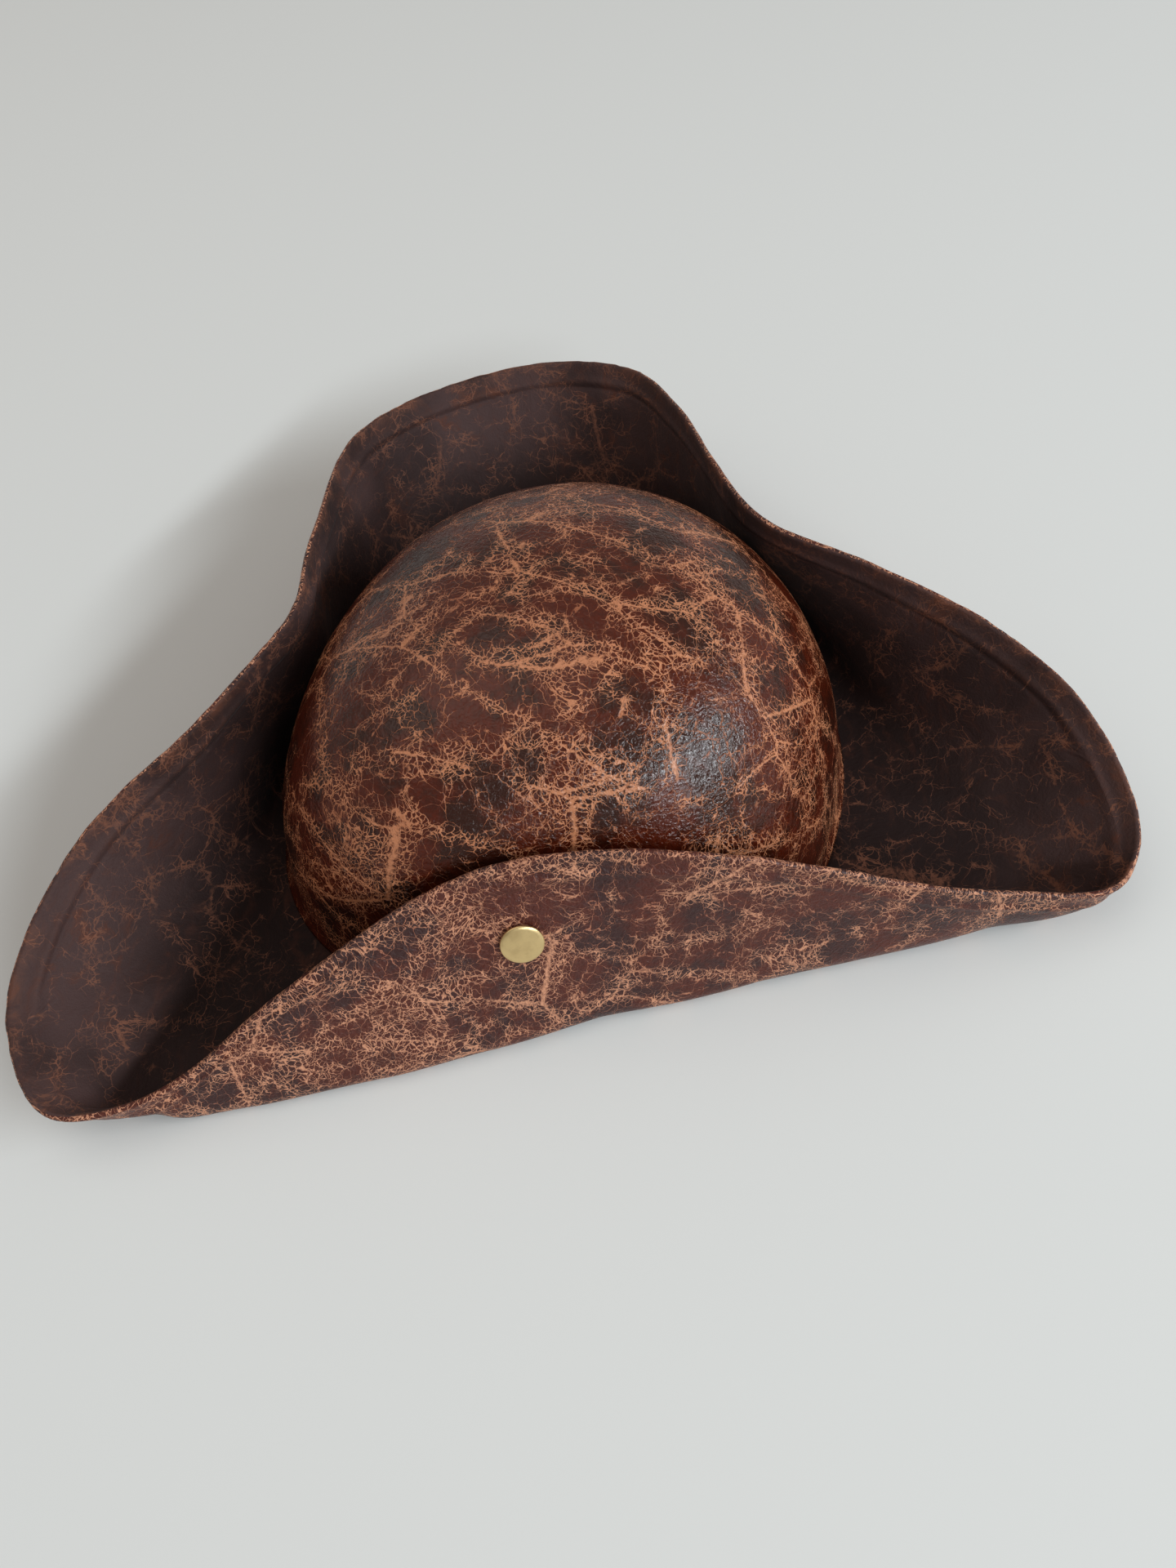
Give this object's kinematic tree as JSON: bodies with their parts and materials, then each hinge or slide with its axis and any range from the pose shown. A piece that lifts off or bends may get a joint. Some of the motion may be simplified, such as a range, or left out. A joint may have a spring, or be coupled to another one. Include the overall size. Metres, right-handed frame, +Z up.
{
  "type": "tricorn hat",
  "caption": "Brown crackled leather tricorn hat: a moulded domed crown, a turned-up brim with rounded points and a corded edge, and flaps held by brass cap rivets.",
  "frame": {"origin": "bottom centre of the whole hat's box, on the surface it rests on", "axes": "+Z up; X runs along the straight near fold of the brim, +X towards the right point; +Y towards the far point"},
  "size_m": [0.333, 0.2606, 0.09],
  "materials": {
    "crown_leather": "satin, crackled tan over dark brown",
    "brim_leather": "matt, mottled dark brown",
    "rivet_brass": "aged, softly brushed"
  },
  "bodies": {
    "root": {"crown": "crown_leather", "brim": "brim_leather", "rivet_near": "rivet_brass", "rivet_right": "rivet_brass", "rivet_left": "rivet_brass"}
  },
  "joints": []
}
